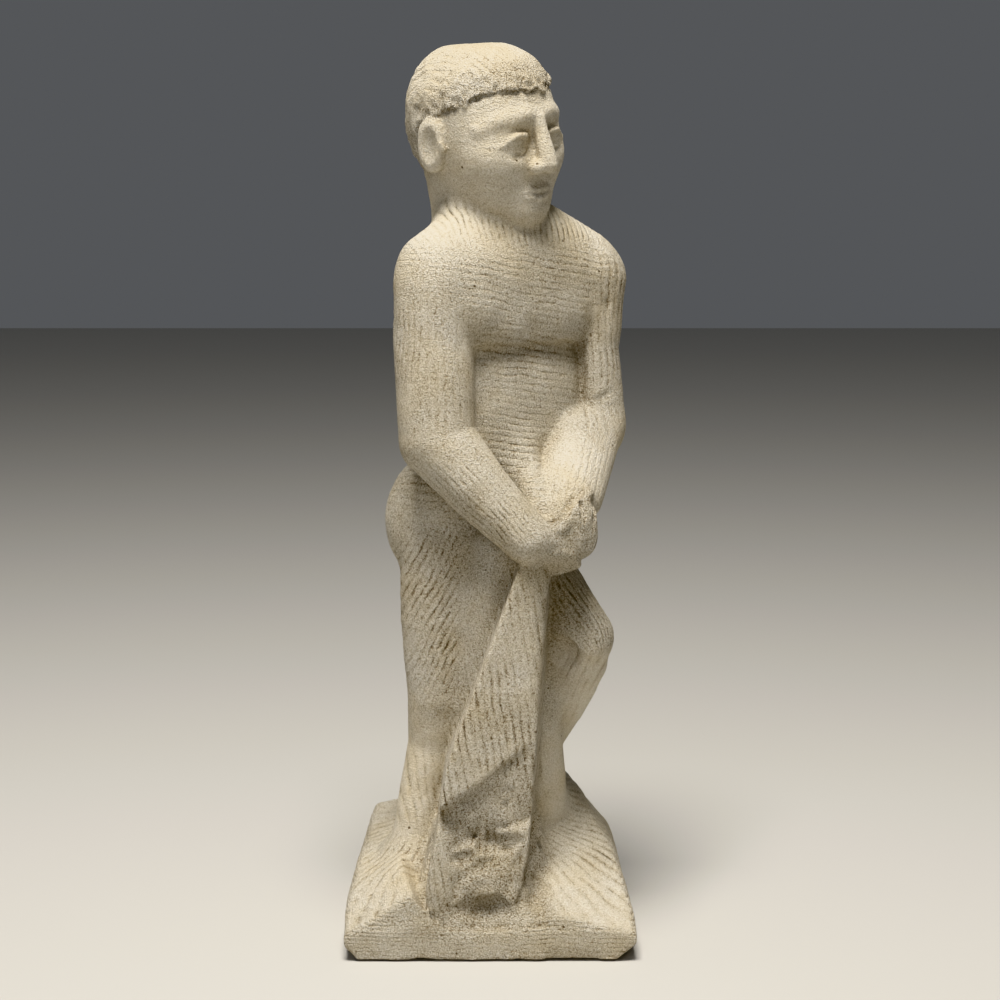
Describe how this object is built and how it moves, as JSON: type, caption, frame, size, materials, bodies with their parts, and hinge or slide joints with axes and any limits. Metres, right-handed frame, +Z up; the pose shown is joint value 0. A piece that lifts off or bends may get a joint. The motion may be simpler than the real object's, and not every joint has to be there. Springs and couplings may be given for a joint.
{
  "type": "carved male figure sculpture",
  "caption": "Standing nude man, directly carved with a toothed chisel from one block of pale limestone, both hands resting on a club, on its own rough block base.",
  "frame": {"origin": "middle of the sawn underside of the block", "axes": "+Z up, the block's sawn front face towards -Y, +X to a viewer's right"},
  "size_m": [0.193, 0.184, 0.5995],
  "materials": {
    "limestone": "dry, pale limestone left from the toothed chisel, with no polish"
  },
  "bodies": {
    "root": {"carved_figure": "limestone"}
  },
  "joints": []
}
